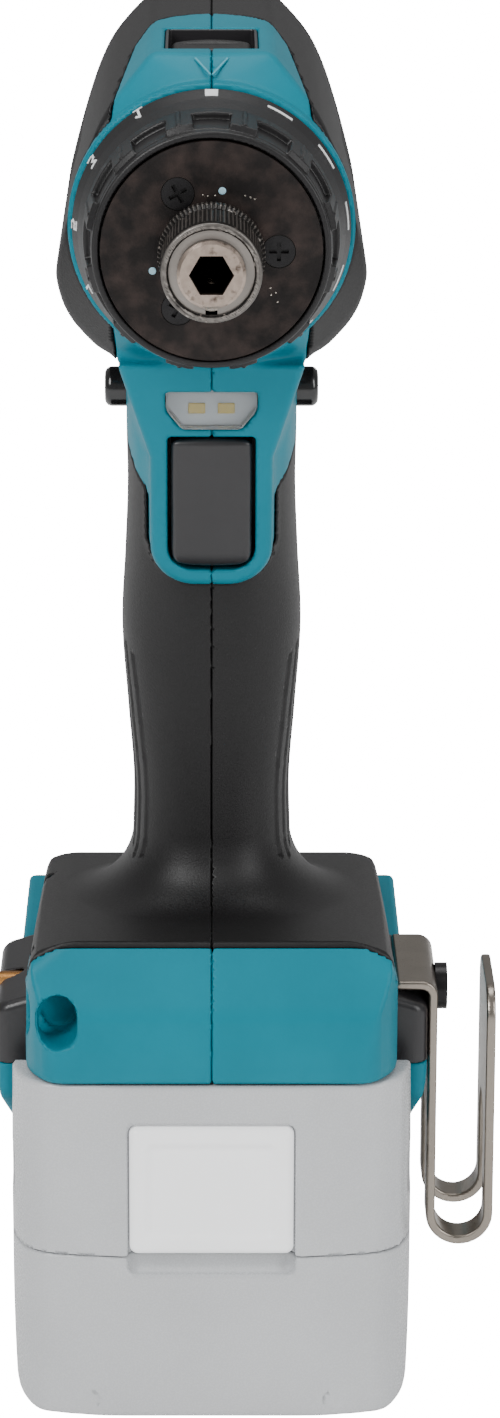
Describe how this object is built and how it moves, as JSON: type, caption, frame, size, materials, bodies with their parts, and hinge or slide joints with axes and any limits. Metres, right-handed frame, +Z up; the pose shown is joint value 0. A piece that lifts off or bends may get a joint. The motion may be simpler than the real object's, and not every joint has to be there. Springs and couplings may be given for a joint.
{
  "type": "cordless drill",
  "caption": "Compact cordless drill with a quick-change hex socket, torque ring, two-speed planetary gearbox, brushless motor, slide-on battery pack, lamp and steel belt hook.",
  "frame": {"origin": "centre of the battery pack's flat foot", "axes": "+Z up from the foot, the bit points along -Y, +X is the side with the belt hook"},
  "size_m": [0.0915, 0.139, 0.2469],
  "materials": {
    "housing": "satin moulded plastic with a fine grain",
    "overmould": "matt soft rubber",
    "pack_case": "pale semi-gloss plastic",
    "pack_button": "white gloss plastic",
    "black_plastic": "satin black plastic",
    "lever_plastic": "gloss black plastic",
    "trigger_plastic": "satin dark grey plastic",
    "ring_plastic": "satin black plastic",
    "mark_paint": "white print",
    "nose_metal": "dark phosphate-coated steel plate",
    "sleeve_metal": "black-coated knurled steel",
    "tool_steel": "turned steel",
    "black_screw": "black oxide steel",
    "bright_screw": "zinc-plated steel",
    "gear_steel": "machined steel",
    "bearing_steel": "ground steel",
    "spring_steel": "drawn spring wire",
    "cast_metal": "die-cast alloy",
    "bronze": "sintered bronze",
    "contact_metal": "plated contact metal",
    "hook_metal": "warm nickel-plated strip",
    "lamination": "varnished steel sheets",
    "winding": "enamelled copper wire",
    "magnet": "sintered magnet",
    "board": "green circuit board",
    "lamp_board": "white board with yellow light chips",
    "lens": "clear moulded lens",
    "potting": "black potting resin",
    "cell_wrap": "shrink wrap over steel cans"
  },
  "bodies": {
    "tool": {"housing_left": "housing", "housing_right": "housing", "overmold_left": "overmould", "overmold_right": "overmould", "housing_screws": "bright_screw", "led_lens": "lens", "led_board": "lamp_board", "switch_body": "black_plastic", "controller": "potting", "terminal_block": "black_plastic", "terminal_blades": "contact_metal", "gear_case": "cast_metal", "gear_case_cover": "gear_steel", "ring_gear_1": "gear_steel", "ring_gear_3": "gear_steel", "nose_plate": "nose_metal", "nose_screws": "black_screw", "hook": "hook_metal", "hook_screw": "black_screw", "insert_left": "bronze", "insert_right": "bronze", "stator_core": "lamination", "stator_coils": "winding", "sensor_board": "board", "motor_bearings": "bearing_steel", "spindle_bearing": "bearing_steel", "spindle_bush": "bronze", "clutch_spring": "spring_steel"},
    "ring": {"torque_ring": "ring_plastic", "ring_marks": "mark_paint"},
    "nut": {"clutch_nut": "black_plastic"},
    "speed": {"speed_selector": "black_plastic", "ring_gear_2": "gear_steel"},
    "spindle": {"spindle": "tool_steel", "bit_retainer": "spring_steel", "chuck_balls": "bearing_steel", "sleeve_spring": "spring_steel"},
    "sleeve": {"chuck_sleeve": "sleeve_metal"},
    "rotor": {"rotor_shaft": "gear_steel", "rotor_magnets": "magnet", "fan": "black_plastic"},
    "carrier_one": {"carrier_1": "gear_steel"},
    "carrier_two": {"carrier_2": "gear_steel"},
    "trigger": {"trigger": "trigger_plastic"},
    "lever": {"direction_lever": "lever_plastic"},
    "pack": {"pack_case_top": "pack_case", "pack_case_bottom": "pack_case", "cells": "cell_wrap", "pack_board": "board", "pack_contacts": "contact_metal"},
    "pack_button": {"release_button": "pack_button"},
    "planet_1a": {"planets_1a": "gear_steel"},
    "planet_1b": {"planets_1b": "gear_steel"},
    "planet_1c": {"planets_1c": "gear_steel"},
    "planet_2a": {"planets_2a": "gear_steel"},
    "planet_2b": {"planets_2b": "gear_steel"},
    "planet_2c": {"planets_2c": "gear_steel"},
    "planet_3a": {"planets_3a": "gear_steel"},
    "planet_3b": {"planets_3b": "gear_steel"},
    "planet_3c": {"planets_3c": "gear_steel"}
  },
  "joints": [
    {"name": "spindle_spin", "type": "hinge", "parent": "tool", "child": "spindle", "pos_m": [0, -0.05, 0.2185], "axis": [0, 1, 0], "continuous": true},
    {"name": "carrier_two_spin", "type": "hinge", "parent": "tool", "child": "carrier_two", "pos_m": [0, -0.013, 0.2185], "axis": [0, 1, 0], "continuous": true},
    {"name": "carrier_one_spin", "type": "hinge", "parent": "tool", "child": "carrier_one", "pos_m": [0, -0.001, 0.2185], "axis": [0, 1, 0], "continuous": true},
    {"name": "rotor_spin", "type": "hinge", "parent": "tool", "child": "rotor", "pos_m": [0, 0.024, 0.2185], "axis": [0, 1, 0], "continuous": true},
    {"name": "planet_1a_spin", "type": "hinge", "parent": "carrier_one", "child": "planet_1a", "pos_m": [0.009, 0.003, 0.2185], "axis": [0, 1, 0], "continuous": true},
    {"name": "planet_1b_spin", "type": "hinge", "parent": "carrier_one", "child": "planet_1b", "pos_m": [-0.0045, 0.003, 0.21071], "axis": [0, 1, 0], "continuous": true},
    {"name": "planet_1c_spin", "type": "hinge", "parent": "carrier_one", "child": "planet_1c", "pos_m": [-0.0045, 0.003, 0.22629], "axis": [0, 1, 0], "continuous": true},
    {"name": "planet_2a_spin", "type": "hinge", "parent": "carrier_two", "child": "planet_2a", "pos_m": [0.0096, -0.009, 0.2185], "axis": [0, 1, 0], "continuous": true},
    {"name": "planet_2b_spin", "type": "hinge", "parent": "carrier_two", "child": "planet_2b", "pos_m": [-0.0048, -0.009, 0.21019], "axis": [0, 1, 0], "continuous": true},
    {"name": "planet_2c_spin", "type": "hinge", "parent": "carrier_two", "child": "planet_2c", "pos_m": [-0.0048, -0.009, 0.22681], "axis": [0, 1, 0], "continuous": true},
    {"name": "planet_3a_spin", "type": "hinge", "parent": "spindle", "child": "planet_3a", "pos_m": [0.01029, -0.0196, 0.2185], "axis": [0, 1, 0], "continuous": true},
    {"name": "planet_3b_spin", "type": "hinge", "parent": "spindle", "child": "planet_3b", "pos_m": [-0.00514, -0.0196, 0.20959], "axis": [0, 1, 0], "continuous": true},
    {"name": "planet_3c_spin", "type": "hinge", "parent": "spindle", "child": "planet_3c", "pos_m": [-0.00514, -0.0196, 0.22741], "axis": [0, 1, 0], "continuous": true},
    {"name": "sleeve_pull", "type": "slide", "parent": "spindle", "child": "sleeve", "axis": [0, -1, 0], "range_m": [0, 0.0035], "stiffness_N_per_m": 900, "springref_m": -0.003, "deforming": ["sleeve_spring"]},
    {"name": "torque_ring_turn", "type": "hinge", "parent": "tool", "child": "ring", "pos_m": [0, -0.053, 0.2185], "axis": [0, 1, 0], "range_deg": [-326, 0]},
    {"name": "clutch_nut_slide", "type": "slide", "parent": "ring", "child": "nut", "axis": [0, -1, 0], "range_m": [0, 0.004], "deforming": ["clutch_spring"]},
    {"name": "speed_select", "type": "slide", "parent": "tool", "child": "speed", "axis": [0, 1, 0], "range_m": [0, 0.006]},
    {"name": "trigger_pull", "type": "slide", "parent": "tool", "child": "trigger", "axis": [0, 1, 0], "range_m": [0, 0.006], "stiffness_N_per_m": 900, "springref_m": -0.003},
    {"name": "direction_push", "type": "slide", "parent": "tool", "child": "lever", "axis": [1, 0, 0], "range_m": [-0.003, 0.003]},
    {"name": "pack_slide", "type": "slide", "parent": "tool", "child": "pack", "axis": [0, -1, 0], "range_m": [0, 0.115]},
    {"name": "release_button_press", "type": "slide", "parent": "pack", "child": "pack_button", "axis": [0, 0, -1], "range_m": [0, 0.004], "stiffness_N_per_m": 500, "springref_m": -0.002}
  ],
  "couplings": [
    {"joint": "carrier_two_spin", "follows": "spindle_spin", "ratio": 3.3333},
    {"joint": "carrier_one_spin", "follows": "spindle_spin", "ratio": 13.333},
    {"joint": "rotor_spin", "follows": "spindle_spin", "ratio": 66.667},
    {"joint": "planet_1a_spin", "follows": "spindle_spin", "ratio": -35.556},
    {"joint": "planet_1b_spin", "follows": "spindle_spin", "ratio": -35.556},
    {"joint": "planet_1c_spin", "follows": "spindle_spin", "ratio": -35.556},
    {"joint": "planet_2a_spin", "follows": "spindle_spin", "ratio": -10},
    {"joint": "planet_2b_spin", "follows": "spindle_spin", "ratio": -10},
    {"joint": "planet_2c_spin", "follows": "spindle_spin", "ratio": -10},
    {"joint": "planet_3a_spin", "follows": "spindle_spin", "ratio": -3.5},
    {"joint": "planet_3b_spin", "follows": "spindle_spin", "ratio": -3.5},
    {"joint": "planet_3c_spin", "follows": "spindle_spin", "ratio": -3.5},
    {"joint": "clutch_nut_slide", "follows": "torque_ring_turn", "m_per_rad": -0.00070302}
  ]
}
